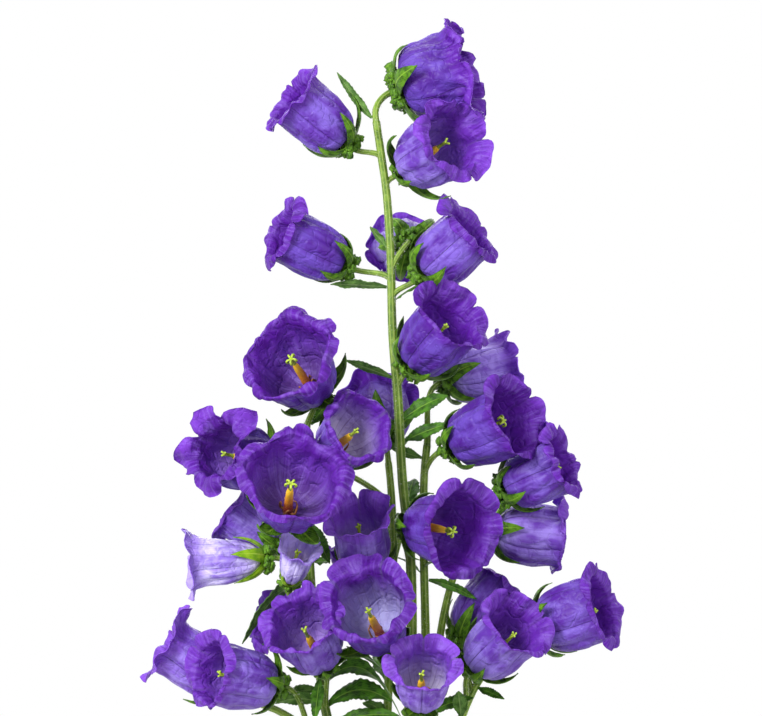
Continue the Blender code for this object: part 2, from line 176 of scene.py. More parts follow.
# Flowers: stem, height in millimetres at which the stalk leaves it, tone outside, tone of the
# throat, how far the throat opens, how far the near and the far lobes fold back in degrees,
# and how crumpled it is
FLOWERS = {
    "bell_01": ("stem_main", 522, "violet", "dark", 0.2, 110, 60, 1.2),
    "bell_02": ("stem_main", 546, "deep", "dark", 0.1, 40, 12, 3.0),
    "bell_03": ("stem_main", 508, "light", "lilac", 0.2, 120, 15, 2.0),
    "bell_04": ("stem_main", 452, "deep", "mauve", 0.1, 165, 70, 1.1),
    "bell_05": ("stem_main", 444, "violet", "mauve", 0.1, 165, 60, 1.1),
    "bell_06": ("stem_main", 460, "light", "mauve", 0.2, 140, 90, 1.1),
    "bell_07": ("stem_main", 392, "deep", "dark", 0.6, 176, 20, 1.3),
    "bell_08": ("stem_right", 362, "bright", "lilac", 0.5, 95, 25, 1.5),
    "bell_09": ("stem_right", 345, "deep", "dark", 0.7, 176, 30, 1.1),
    "bell_10": ("stem_left", 372, "deep", "mauve", 1.2, 176, 130, 1.5),
    "bell_11": ("stem_centre", 322, "violet", "grey", 0.7, 176, 140, 1.3),
    "bell_12": ("stem_centre", 350, "violet", "mauve", 0.3, 120, 90, 1.2),
    "bell_13": ("stem_left", 330, "deep", "lilac", -0.3, 125, 8, 2.2),
    "bell_14": ("stem_left", 312, "deep", "mauve", 1.1, 176, 125, 1.6),
    "bell_15": ("stem_left", 280, "light", "mauve", 0.2, 140, 80, 1.3),
    "bell_16": ("stem_left", 270, "pale", "white", 0.0, 70, 55, 0.9),
    "bell_17": ("stem_left", 258, "pale", "white", -0.3, 60, 5, 0.9),
    "bell_18": ("stem_centre", 262, "bright", "grey", 0.2, 60, 15, 1.2),
    "bell_19": ("stem_centre", 238, "deep", "mist", 0.8, 176, 85, 1.4),
    "bell_20": ("stem_left", 214, "light", "lilac", 0.7, 176, 80, 1.8),
    "bell_21": ("stem_left", 240, "light", "grey", 0.2, 130, 90, 1.4),
    "bell_22": ("stem_lower_left", 214, "bright", "lilac", 0.1, 90, 60, 1.2),
    "bell_23": ("stem_lower_left", 200, "light", "lilac", 0.3, 172, 60, 1.6),
    "bell_24": ("stem_main", 290, "deep", "dark", 1.1, 150, 60, 1.2),
    "bell_25": ("stem_upper_right", 326, "violet", "dark", 0.1, 160, 70, 1.7),
    "bell_26": ("stem_upper_right", 292, "bright", "dark", 0.1, 150, 105, 1.5),
    "bell_27": ("stem_lower_right", 222, "violet", "dark", 0.3, 160, 60, 1.4),
    "bell_28": ("stem_lower_right", 216, "light", "mauve", 0.4, 176, 20, 1.2),
    "bell_29": ("stem_lower_right", 252, "violet", "mauve", 0.0, 150, 80, 1.1),
    "bell_30": ("stem_main", 196, "bright", "grey", 0.4, 176, 18, 1.2),
    "bell_31": ("stem_centre", 295, "deep", "dark", 0.3, 130, 90, 1.3),
}

# Sides that taper, longer or shorter lobes, lobes turned about the bell's axis in degrees, bells
# whose near lobes are short and pressed flat, and those whose stigma has opened
TAPERS = {"bell_15": 0.2, "bell_16": 0.75, "bell_17": 0.9, "bell_22": 0.2}
LOBE_SIZES = {"bell_03": 1.1, "bell_13": 1.7, "bell_16": 0.85, "bell_17": 0.8, "bell_22": 1.2,
              "bell_26": 0.9, "bell_29": 0.85}
LOBE_TURNS = {"bell_10": 34}
FLUSH = ("bell_03", "bell_07", "bell_09", "bell_20", "bell_24", "bell_28", "bell_30")
OPEN_STIGMAS = ("bell_09", "bell_10", "bell_14", "bell_24")

# Colours of a petal's outside, linear: body's shade, body's light, lobes, base
TONES = {
    "deep": ((0.060, 0.009, 0.210), (0.118, 0.055, 0.39), (0.096, 0.011, 0.305), (0.100, 0.046, 0.36)),
    "violet": ((0.078, 0.014, 0.262), (0.170, 0.096, 0.48), (0.109, 0.014, 0.345), (0.18, 0.11, 0.50)),
    "light": ((0.102, 0.030, 0.320), (0.232, 0.158, 0.55), (0.130, 0.024, 0.385), (0.31, 0.25, 0.68)),
    "bright": ((0.130, 0.040, 0.390), (0.300, 0.205, 0.66), (0.180, 0.050, 0.49), (0.37, 0.30, 0.74)),
    "pale": ((0.22, 0.13, 0.55), (0.60, 0.54, 0.85), (0.26, 0.15, 0.61), (0.88, 0.86, 0.92)),
}
# Throat colours, linear: deep in the bell, half way up, light streaks
THROATS = {
    "dark": ((0.120, 0.026, 0.33), (0.112, 0.015, 0.36), (0.17, 0.08, 0.48)),
    # The mauve throat's deep colour is darker than its middle: painted shade at the bottom of the bell
    "mauve": ((0.09, 0.035, 0.20), (0.145, 0.040, 0.41), (0.26, 0.16, 0.56)),
    "lilac": ((0.34, 0.22, 0.58), (0.25, 0.13, 0.56), (0.36, 0.26, 0.66)),
    "mist": ((0.38, 0.36, 0.66), (0.26, 0.20, 0.52), (0.44, 0.40, 0.70)),
    "grey": ((0.66, 0.62, 0.76), (0.34, 0.25, 0.60), (0.52, 0.45, 0.76)),
    "white": ((0.84, 0.80, 0.88), (0.70, 0.64, 0.86), (0.80, 0.76, 0.90)),
}

# The vein ends, a painted highlight along a lobe's edge, the inside of pale lobes, and the pale veil over
# a throat
VEIN_MARK = (0.27, 0.17, 0.58)
LOBE_EDGE_HIGHLIGHT = (0.24, 0.07, 0.62)
PALE_LOBE_INSIDE = (0.45, 0.36, 0.78)
LOBE_VEIL = (0.45, 0.38, 0.80)
# The tint of light that has passed through a petal
GLOW = (0.52, 0.24, 0.88)
POLLEN = (0.95, 0.62, 0.12)
# The pistil's colours up its length, each with the share at which it is reached
PISTIL_COLOURS = (
    (0.0, (0.16, 0.015, 0.015)),
    (0.26, (0.38, 0.05, 0.01)),
    (0.46, (0.80, 0.29, 0.01)),
    (0.80, (0.88, 0.52, 0.02)),
)
# Glaze where it is thin and where it is thick, its specks, and the bare clay at the foot
GLAZE_THIN = (0.43, 0.42, 0.38)
GLAZE_THICK = (0.50, 0.49, 0.45)
GLAZE_SPECK = (0.20, 0.16, 0.11)
CLAY = (0.34, 0.25, 0.17)

# The vase's outside, rim and inside, in millimetres: (radius, height)
VASE_OUTSIDE = ((0.0, 0.0), (38.5, 0.0), (40.6, 0.7), (43.0, 3.6), (49.0, 30), (53.0, 70),
                (51.5, 115), (47.1, 160), (46.9, 184), (48.6, 193))
VASE_RIM = ((48.5, 194.9), (46.9, 195.7), (45.3, 195.2), (44.4, 193.2))
VASE_INSIDE = ((42.4, 184), (42.6, 160), (47.0, 115), (48.5, 70), (44.5, 30), (38.6, 10.5),
               (35, 8), (0.0, 8.0))
VASE_COLUMNS = 120

FLOOR_RADIUS = 9.0
FLOOR_SIDES = 96
FLOOR_COLOUR = (0.55, 0.55, 0.54)
# Distances from the vase between which the floor fades to white
FADE_FROM = 0.25
FADE_TO = 1.7

# The view's size and lowest height at the vase's axis, in metres
VIEW_WIDTH = 0.4233333
VIEW_HEIGHT = 0.3977778
VIEW_BOTTOM = 0.215
CAMERA_DISTANCE = 2.4
SENSOR_WIDTH = 36

MATERIALS = {}

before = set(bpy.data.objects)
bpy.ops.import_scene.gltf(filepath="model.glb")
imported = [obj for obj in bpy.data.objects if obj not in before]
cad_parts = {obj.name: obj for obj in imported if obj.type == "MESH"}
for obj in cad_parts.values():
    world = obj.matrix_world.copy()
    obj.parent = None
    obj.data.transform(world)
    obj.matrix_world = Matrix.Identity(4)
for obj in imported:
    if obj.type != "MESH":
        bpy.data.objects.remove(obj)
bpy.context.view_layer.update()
scene = bpy.context.scene


# ---------------- meshes

class Sculpt:
    """Gathers grids of points into one mesh with a UV map and material numbers."""

    def __init__(self):
        self.points, self.faces, self.uvs, self.slots = [], [], [], []

    def numbers(self, points, closed):
        """Adds the points and gives their numbers. A closed grid's first column comes again last."""
        first = sum(len(p) for p in self.points)
        self.points.append(points.reshape(-1, 3))
        numbers = first + np.arange(points[..., 0].size).reshape(points.shape[:2])
        return np.concatenate([numbers, numbers[:, :1]], 1) if closed else numbers

    def quads(self, numbers, uv, slot, flip=False):
        self.faces.append(grid_quads(numbers, flip))
        self.uvs.append(grid_quads(uv, flip))
        self.slots.append(np.full(len(self.faces[-1]), slot))

    def grid(self, points, uv, slot=0, flip=False):
        """A grid of quads whose last column is joined to its first."""
        self.quads(self.numbers(points, True), uv, slot, flip)

    def slab(self, points, uv, thickness, slots, closed=False):
        """An open grid made solid: the second side lies thickness behind the first."""
        front = self.numbers(points, closed)
        back = self.numbers(points - grid_normals(points, closed) * thickness, closed)
        self.quads(front, uv, slots[0])
        self.quads(back, uv, slots[1], True)
        edges = [np.s_[0, ::-1], np.s_[-1, :]]
        if not closed:
            edges += [np.s_[:, 0], np.s_[::-1, -1]]
        for edge in edges:
            self.quads(np.stack([front[edge], back[edge]]), np.stack([uv[edge]] * 2), slots[0], True)

    def build(self, name, materials, node):
        """Makes the piece that stands for the CAD node."""
        mesh = bpy.data.meshes.new(name)
        mesh.from_pydata(np.concatenate(self.points).tolist(), [], np.concatenate(self.faces).tolist())
        layer = mesh.uv_layers.new(name="skin")
        layer.data.foreach_set("uv", np.concatenate(self.uvs).ravel().astype(np.float32))
        for material in materials:
            mesh.materials.append(MATERIALS[material])
        mesh.polygons.foreach_set("material_index", np.concatenate(self.slots).astype(np.int32))
        mesh.shade_smooth()
        mesh.validate()
        obj = add_object(name, mesh)
        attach(obj, "root")
        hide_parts(node)


def add_object(name, data):
    obj = bpy.data.objects.new(name, data)
    scene.collection.objects.link(obj)
    return obj


def grid_quads(grid, flip):
    """The values at the four corners of each of a grid's quads."""
    corners = [grid[:-1, :-1], grid[:-1, 1:], grid[1:, 1:], grid[1:, :-1]]
    quads = np.stack(corners[::-1] if flip else corners, 2)
    return quads.reshape(-1, *quads.shape[2:])


def unit(vectors):
    """The vectors along the last axis at length one."""
    return vectors / np.maximum(np.linalg.norm(vectors, axis=-1, keepdims=True), 1e-12)


def grid_normals(points, closed):
    if closed:
        across = (np.roll(points, -1, 1) - np.roll(points, 1, 1)) / 2
    else:
        across = np.gradient(points, axis=1)
    return unit(np.cross(across, np.gradient(points, axis=0)))


def ring_angles(count):
    return np.arange(count) / count * TURN


def around(radius, height, angle):
    """Points from their radius, height and angle about an upright axis."""
    return np.stack(np.broadcast_arrays(radius * np.cos(angle), radius * np.sin(angle), height), -1)


def uv_grid(across, along):
    return np.stack(np.meshgrid(across, along), 2)


def ring_uv(columns, along):
    """A closed grid's UV places: u runs once around it and v is given for each row."""
    return uv_grid(np.arange(columns + 1) / columns, along)


def line_lengths(line):
    """How far each point lies along the line."""
    return np.concatenate([[0], np.cumsum(np.linalg.norm(np.diff(line, axis=0), axis=1))])


def smooth_line(points, count):
    """count points evenly along a Catmull-Rom curve through the points."""
    points = np.asarray(points, float)
    ends = np.concatenate([[2 * points[0] - points[1]], points, [2 * points[-1] - points[-2]]])
    t = np.linspace(0, 1, 24, endpoint=False)[:, None]
    fine = []
    for a, b, c, d in zip(ends, ends[1:], ends[2:], ends[3:]):
        fine.append(0.5 * (2 * b + (c - a) * t + (2 * a - 5 * b + 4 * c - d) * t**2
                           + (3 * b - a - 3 * c + d) * t**3))
    fine = np.concatenate([*fine, points[-1:]])
    length = line_lengths(fine)
    at = np.linspace(0, length[-1], count)
    return np.stack([np.interp(at, length, fine[:, i]) for i in range(fine.shape[1])], 1)


def line_frames(line):
    """For each point of a line its direction and two sides that don't twist along it."""
    ahead = unit(np.gradient(line, axis=0))
    side = np.cross(ahead[0], (0.0, 1.0, 0.01))
    sides = []
    for direction in ahead:
        side = unit(side - direction * side.dot(direction))
        sides.append(side)
    sides = np.array(sides)
    return ahead, sides, np.cross(ahead, sides)


def tube_grid(line, radii, columns, ribs=0.0):
    """A tube's grid along a line. ribs is the share by which its radius goes in and out."""
    _, side, up = line_frames(line)
    angle = ring_angles(columns)
    radius = np.asarray(radii)[:, None] * (1 + ribs * np.cos(STEM_RIBS * angle)[None, :])
    ring = side[:, None] * np.cos(angle)[None, :, None] + up[:, None] * np.sin(angle)[None, :, None]
    points = line[:, None] + ring * radius[..., None]
    return points, ring_uv(columns, line_lengths(line) / MM)


def add_tube(sculpt, line, radii, columns, slot=0, ribs=0.0):
    """A tube with rounded-in ends."""
    points, uv = tube_grid(line, radii, columns, ribs)
    rows = [0, 0, *range(len(line)), -1, -1]
    share = np.array([0.02, 0.6, *[1] * len(line), 0.6, 0.02])[:, None, None]
    middle = points[rows].mean(axis=1, keepdims=True)
    sculpt.grid(middle + (points[rows] - middle) * share, uv[rows], slot, flip=True)


def jitter(rng, spread):
    return rng.uniform(-spread, spread)


def noise_at(points, scale, seed):
    """Smooth noise from -1 to 1 at each point."""
    flat = points.reshape(-1, 3) / scale + seed * 17.3
    return np.array([noise.noise(p) for p in flat]).reshape(points.shape[:-1])


# ---------------- materials

class Value:
    """A number, colour or shader that varies over a surface. Sums and products become nodes."""

    def __init__(self, paint, socket):
        self.paint, self.socket = paint, socket

    def __add__(self, other):
        return self.paint.maths("ADD", self, other)

    def __sub__(self, other):
        return self.paint.maths("SUBTRACT", self, other)

    def __mul__(self, other):
        return self.paint.maths("MULTIPLY", self, other)

    def __pow__(self, other):
        return self.paint.maths("POWER", self, other)

    def __abs__(self):
        return self.paint.maths("ABSOLUTE", self)

    def ramp(self, low, high):
        """Brought from low..high to 0..1, clamped and eased."""
        sockets = [(0, self), (1, low), (2, high)]
        return self.paint.value("MapRange", sockets, interpolation_type="SMOOTHSTEP")


class Paint:
    """Builds the nodes of one material, from a first colour and others laid over it."""

    def __init__(self, name, colour=None):
        self.colour = colour
        MATERIALS[name] = bpy.data.materials.new(name)
        MATERIALS[name].use_nodes = True
        self.tree = MATERIALS[name].node_tree
        self.tree.nodes.clear()

    def node(self, kind, sockets=(), **settings):
        """A node with its settings, and its sockets as (name or number, value) pairs."""
        node = self.tree.nodes.new("ShaderNode" + kind)
        for key, value in settings.items():
            setattr(node, key, value)
        for key, value in sockets:
            if isinstance(value, Value):
                self.tree.links.new(value.socket, node.inputs[key])
            elif isinstance(value, (tuple, list)):
                node.inputs[key].default_value = (*value, 1)
            else:
                node.inputs[key].default_value = value
        return node

    def value(self, kind, sockets=(), output=0, **settings):
        return Value(self, self.node(kind, sockets, **settings).outputs[output])

    def maths(self, operation, *values):
        return self.value("Math", enumerate(values), operation=operation)

    def lay(self, share, colour):
        """Lays a share of a colour over what is there."""
        sockets = [(0, share), (6, self.colour), (7, colour)]
        self.colour = self.value("Mix", sockets, 2, data_type="RGBA")

    def noise(self, scale, detail=3.0):
        """Noise over the place in the object."""
        place = self.value("TexCoord", output="Object")
        return self.value("TexNoise", [("Vector", place), ("Scale", scale), ("Detail", detail)])

    def strands(self, u, v, seed, scale_u, scale_v, detail):
        """Noise over the surface's own coordinates, drawn out along one of them."""
        place = self.value("CombineXYZ", [(0, u * scale_u), (1, v * scale_v), (2, seed)])
        sockets = [("Vector", place), ("Scale", 1.0), ("Detail", detail), ("Roughness", 0.55)]
        return self.value("TexNoise", sockets)

    def split(self, vector):
        """The first two parts of a vector."""
        parts = self.node("SeparateXYZ", [(0, vector)])
        return Value(self, parts.outputs[0]), Value(self, parts.outputs[1])

    def skin(self):
        """The surface's own coordinates."""
        return self.split(self.value("UVMap", uv_map="skin"))

    def bump(self, height, strength, distance):
        """The surface's normal where it is raised by height. distance is in millimetres."""
        sockets = [("Height", height), ("Strength", strength), ("Distance", distance * MM)]
        return self.value("Bump", sockets)

    def surface(self, roughness, normal, **others):
        sockets = [("Base Color", self.colour), ("Roughness", roughness), ("Normal", normal)]
        sockets += [(key.replace("_", " "), value) for key, value in others.items()]
        return self.value("BsdfPrincipled", sockets)

    def blend(self, share, first, second):
        return self.value("MixShader", [(0, share), (1, first), (2, second)])

    def finish(self, shader):
        self.node("OutputMaterial", [(0, shader)])


def petal_paint(name, colour, *strands):
    """A petal side's paint and v, the distance from the petal's middle, and broad to fine strands."""
    paint = Paint(name, colour)
    u, v = paint.skin()
    across = abs(paint.maths("FRACT", u) - 0.5)
    return paint, v, across, *(paint.strands(u, v, *row) for row in strands)


def lobe_marks(fine, across, v):
    """Where the short pale vein ends show, in a bunch at the middle of each lobe."""
    marks = fine.ramp(0.52, 0.62) * v.ramp(0.76, 0.82)
    return marks * across.ramp(0.15, 0.04) * v.ramp(0.97, 0.90)


def painted_fold_shade(across, v):
    """Where shade is painted into the folds that run down from the notches between the lobes."""
    return abs(across - 0.5).ramp(0.06, 0.0) * (v.ramp(0.50, 0.72) * v.ramp(0.95, 0.85))


def lobe_colours(paint, lobe, streak, marks, v):
    """Paler and darker strands out through the lobes, a painted highlight along the edge and pale vein
    ends.
    """
    high = v.ramp(0.66, 0.80)
    paint.lay(streak.ramp(0.50, 0.62) * high * 0.28, VEIN_MARK)
    paint.lay(streak.ramp(0.48, 0.36) * high * 0.55, darker(lobe, 0.5))
    # A painted highlight along each lobe's edge
    paint.lay(v.ramp(0.88, 0.985) * 0.40, LOBE_EDGE_HIGHLIGHT)
    paint.lay(marks, VEIN_MARK)


def creases(paint):
    """Fine sharp creases, as in crushed silk: dents in the bump, and lines of painted highlight in the
    colour.
    """
    coarse = abs(paint.noise(70, 1.5) - 0.5).ramp(0.07, 0.0)
    small = abs(paint.noise(170, 1.5) - 0.5).ramp(0.07, 0.0)
    return coarse * 1.1 + small * 0.55


def darker(colour, share):
    return [c * share for c in colour]


def finish_petal(paint, height, roughness, specular, share):
    """A soft sheen over the crumpled petal, and a share of light let through it."""
    height = paint.noise(240, 5.0) * 1.2 + height
    normal = paint.bump(height, 0.75, 0.55)
    sheen = paint.surface(roughness, normal, Specular_IOR_Level=specular)
    paint.lay(0.55, GLOW)
    glow = paint.value("BsdfTranslucent", [("Color", paint.colour), ("Normal", normal)])
    paint.finish(paint.blend(share, sheen, glow))


def petal_material(name, shade, light, lobe, base):
    """A petal's outside: streaks and veins along it, a line down its middle, deeper lobes."""
    paint, v, across, broad, streak, fine = petal_paint(
        name, shade, (1.7, 5.0, 1.3, 3.0), (4.1, 17.0, 2.2, 5.0), (9.3, 60.0, 4.0, 3.0))
    blotch = paint.noise(75)
    tone = broad * 0.34 + streak * 0.12 + blotch * 0.54
    paint.lay(tone.ramp(0.42, 0.59), light)
    paint.lay(fine.ramp(0.50, 0.68) * 0.14, light)
    low = (streak - 0.5) * 0.30 + v
    paint.lay(low.ramp(0.34, 0.04), base)
    edge = (broad - 0.5) * 0.18 + v
    paint.lay(edge.ramp(0.62, 0.76) * 0.85, lobe)
    lobe_colours(paint, lobe, streak, lobe_marks(fine, across, v) * 0.26, v)
    # A thin dark line down the middle of each petal, and fainter veins beside it
    wander = (broad - 0.5) * 0.012
    line = abs(across + wander).ramp(0.015, 0.005) * v.ramp(0.98, 0.70)
    paint.lay(line * 0.70, darker(shade, 0.35))
    # Painted shade in the folds below the notches between the lobes
    paint.lay(painted_fold_shade(across, v) * 0.40, darker(shade, 0.5))
    side_line = abs(across - 0.17).ramp(0.012, 0.003) * blotch.ramp(0.48, 0.56)
    paint.lay(side_line * 0.45, darker(shade, 0.5))
    crease = creases(paint)
    # Paler along the creases below the lobes: a painted highlight where the creases catch the light
    paint.lay(crease * (v.ramp(0.85, 0.6) * 0.24), light)
    height = streak * 0.16 + fine * 0.14 - crease - line * 0.9
    finish_petal(paint, height, streak * 0.12 + 0.38, 0.20, 0.22)


def throat_material(name, deep, middle, streaks, lobe):
    """The inside of a bell: its own depth colours below, the lobes' colour above."""
    paint, v, across, broad, streak, fine = petal_paint(
        name, deep, (21.0, 4.0, 1.2, 3.0), (13.0, 22.0, 2.0, 5.0), (3.3, 70.0, 4.0, 3.0))
    blotch = paint.noise(110)
    # Up from the deep colour at the foot to the middle one; in the mauve throats the darker foot is
    # painted shade
    paint.lay(v.ramp(0.12, 0.52), middle)
    tone = broad * 0.5 + streak * 0.5
    paint.lay(tone.ramp(0.46, 0.66) * 0.60, streaks)
    edge = (broad - 0.5) * 0.30 + v
    paint.lay(edge.ramp(0.34, 0.70), lobe)
    high = edge.ramp(0.55, 0.80)
    paint.lay(blotch.ramp(0.54, 0.34) * high * 0.45, darker(lobe, 0.55))
    veil = [0.8 * a + 0.2 * b for a, b in zip(lobe, LOBE_VEIL)]
    paint.lay(blotch.ramp(0.52, 0.70) * high * 0.22, veil)
    strands = fine.ramp(0.54, 0.68) * v.ramp(0.70, 0.40)
    paint.lay(strands * 0.25, streaks)
    lobe_colours(paint, lobe, streak, lobe_marks(fine, across, v) * 0.34, v)
    dark = darker(middle, 0.45)
    # Painted shade in the folds below the notches between the lobes
    paint.lay(painted_fold_shade(across, v) * 0.55, dark)
    # Dark rays from the foot: one at each petal's middle and a fainter one on either side
    rays = across.ramp(0.018, 0.005) + abs(across - 0.2).ramp(0.016, 0.004) * 0.7
    paint.lay(rays * (v.ramp(0.75, 0.25) * 0.6), dark)
    crease = creases(paint)
    # Paler along the creases: a painted highlight where the creases catch the light
    paint.lay(crease * 0.10, veil)
    height = streak * 0.25 + fine * 0.20 - crease
    finish_petal(paint, height, streak * 0.12 + 0.42, 0.16, 0.28)


def finish_green(paint, roughness, normal, specular, sheen, share):
    """A dull surface that lets a share of light through in its own colour."""
    surface = paint.surface(roughness, normal, Specular_IOR_Level=specular, Sheen_Weight=sheen)
    glow = paint.value("BsdfTranslucent", [("Color", paint.colour)])
    paint.finish(paint.blend(share, surface, glow))


def green_material(name, dark, light, rib, rib_count):
    """Stems, stalks and receptacles: stripes along the surface, mottled, faintly hairy."""
    paint = Paint(name, dark)
    u, _ = paint.skin()
    stripe = paint.maths("COSINE", u * (TURN * rib_count))
    mottled = paint.noise(260, 5.0)
    tone = mottled * 0.55 + paint.noise(40) * 0.45
    paint.lay(tone.ramp(0.38, 0.64), light)
    paint.lay(stripe.ramp(0.1, 0.9) * 0.55, rib)
    normal = paint.bump(stripe * 0.3 + mottled, 0.5, 0.3)
    finish_green(paint, mottled * 0.2 + 0.38, normal, 0.25, 0.04, 0.10)


def leaf_material(name, dark, light, vein, share):
    """A leaf's side: a pale midrib at u = 0.5, slanting side veins with puckered green between."""
    paint = Paint(name, dark)
    u, v = paint.skin()
    across = abs(u - 0.5)
    mottled = paint.noise(300, 4.0)
    slant = v * 11.0 - across * 9.0 + mottled * 0.5
    side_vein = abs(paint.maths("FRACT", slant) - 0.5).ramp(0.10, 0.01)
    midrib = across.ramp(0.055, 0.015)
    paint.lay(mottled.ramp(0.36, 0.62), light)
    paint.lay(side_vein * 0.45, vein)
    paint.lay(midrib * 0.85, vein)
    normal = paint.bump(mottled * 0.7 - side_vein - midrib, 0.55, 0.5)
    finish_green(paint, mottled * 0.25 + 0.35, normal, 0.16, 0.02, share)


def pistil_material():
    """Granular pollen on a column whose colour changes up its length."""
    paint = Paint("pistil", PISTIL_COLOURS[0][1])
    _, v = paint.skin()
    grain = paint.noise(1500, 4.0)
    along = (grain - 0.5) * 0.25 + v
    for (before, _), (at, colour) in zip(PISTIL_COLOURS, PISTIL_COLOURS[1:]):
        paint.lay(along.ramp(before, at), colour)
    paint.lay(grain.ramp(0.5, 0.7) * 0.35, POLLEN)
    paint.finish(paint.surface(0.6, paint.bump(grain, 0.8, 0.3)))


def plain_material(name, colour, roughness, spread):
    """A colour that varies a little from place to place."""
    paint = Paint(name, darker(colour, 1 - spread))
    grain = paint.noise(900, 4.0)
    paint.lay(grain.ramp(0.35, 0.65), colour)
    paint.finish(paint.surface(roughness, paint.bump(grain, 0.3, 0.1)))


def glaze_material():
    """Off-white glaze with fine specks, and bare clay at the foot."""
    paint = Paint("glaze", GLAZE_THIN)
    _, v = paint.skin()
    cloud = paint.noise(22, 4.0)
    speck = paint.noise(900, 2.0)
    paint.lay(cloud.ramp(0.35, 0.68), GLAZE_THICK)
    paint.lay(speck.ramp(0.70, 0.76) * 0.55, GLAZE_SPECK)
    paint.lay((cloud * 0.9 + v).ramp(2.6, 2.0), CLAY)
    normal = paint.bump(speck * 0.05 + cloud, 0.25, 1.5)
    roughness = v.ramp(2.6, 1.8) * 0.5 + 0.16
    paint.finish(paint.surface(roughness, normal, Coat_Weight=0.3, Coat_Roughness=0.08))


def make_materials():
    for tone, (shade, light, lobe, base) in TONES.items():
        petal_material("petal_" + tone, shade, light, lobe, base)
    for tone, throat in sorted({(row[2], row[3]) for row in FLOWERS.values()}):
        lobe = PALE_LOBE_INSIDE if tone == "pale" else TONES[tone][2]
        throat_material(f"throat_{throat}_{tone}", *THROATS[throat], lobe)
    for name, dark, light, rib, rib_count in (
            ("stem", (0.070, 0.145, 0.010), (0.175, 0.29, 0.030), (0.36, 0.44, 0.12), STEM_RIBS),
            ("cup", (0.022, 0.080, 0.003), (0.100, 0.240, 0.008), (0.14, 0.29, 0.02), CUP_RIBS)):
        green_material(name, dark, light, rib, rib_count)
    for name, dark, light, vein, share in (
            ("sepal", (0.022, 0.070, 0.003), (0.085, 0.215, 0.008), (0.20, 0.36, 0.03), 0.12),
            ("bright_sepal", (0.11, 0.27, 0.004), (0.26, 0.46, 0.012), (0.38, 0.56, 0.06), 0.15),
            ("leaf_top", (0.018, 0.064, 0.006), (0.060, 0.180, 0.012), (0.17, 0.32, 0.04), 0.14),
            ("leaf_back", (0.045, 0.115, 0.020), (0.11, 0.23, 0.045), (0.25, 0.38, 0.12), 0.12)):
        leaf_material(name, dark, light, vein, share)
    pistil_material()
    plain_material("stigma", (0.36, 0.48, 0.035), 0.5, 0.4)
    plain_material("stamen", (0.32, 0.13, 0.03), 0.6, 0.4)
    plain_material("hair", (0.80, 0.84, 0.74), 0.5, 0.15)
    glaze_material()


# ---------------- flowers

class Flower:
    """A bell's place and size, read from its CAD node."""

    def __init__(self, name):
        (self.stem, self.join, self.tone, self.throat,
         self.open, self.near_fold, self.far_fold, self.crumple) = FLOWERS[name]
        self.name = name
        self.number = int(name[-2:])
        self.lobes = LOBE_SIZES.get(name, 1)
        self.taper = TAPERS.get(name, 0)
        self.rng = random.Random(self.number * 31)
        points = np.array([v.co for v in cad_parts[name].data.vertices])
        points = np.unique(np.round(points, 6), axis=0)
        middle = points.mean(axis=0)
        # The points furthest from the middle are the lobes' tips, outside and inside
        far = points[np.argsort(-np.linalg.norm(points - middle, axis=1))[:2 * PETALS]]
        rim = far.mean(axis=0)
        axis = np.linalg.svd(far - rim)[2][2]
        if axis.dot(rim - middle) < 0:
            axis = -axis
        heights = (points - rim) @ axis
        span = heights.max() - heights.min() - WALL_HEIGHT * MM
        self.length = span / ((FULL_TIP_HEIGHT - FULL_HOLE_HEIGHT) * MM)
        spokes = (far - rim) - np.outer((far - rim) @ axis, axis)
        sizes = np.linalg.norm(spokes, axis=1)
        self.width = sizes.max() / (FULL_TIP_RADIUS * MM)
        turned = Matrix.Rotation(math.radians(LOBE_TURNS.get(name, 0)), 3, axis)
        lobe = np.array(turned @ Vector(spokes[sizes.argmax()] / sizes.max()))
        self.axis = axis
        self.base = rim + axis * (heights.min() - FULL_HOLE_HEIGHT * MM * self.length)
        self.turn = np.stack([lobe, np.cross(axis, lobe), axis], 1)

    def place(self, local):
        """Points in the flower's own axes, in metres, put where the flower is."""
        return np.asarray(local) @ self.turn.T + self.base

    def round(self, radius, height, angle):
        """Points from full-size radius and height in millimetres and an angle about the axis."""
        radius = np.asarray(radius) * self.width * MM
        height = np.asarray(height) * self.length * MM
        return self.place(around(radius, height, angle))

    def outwards(self, angle):
        """The direction away from the axis at each angle."""
        return around(1, 0, angle) @ self.turn.T

    def narrowing(self, rise):
        """The share of its width that a tapered bell keeps, by the share of its height."""
        return 1 - self.taper * TAPER * (1 - rise) ** 0.8


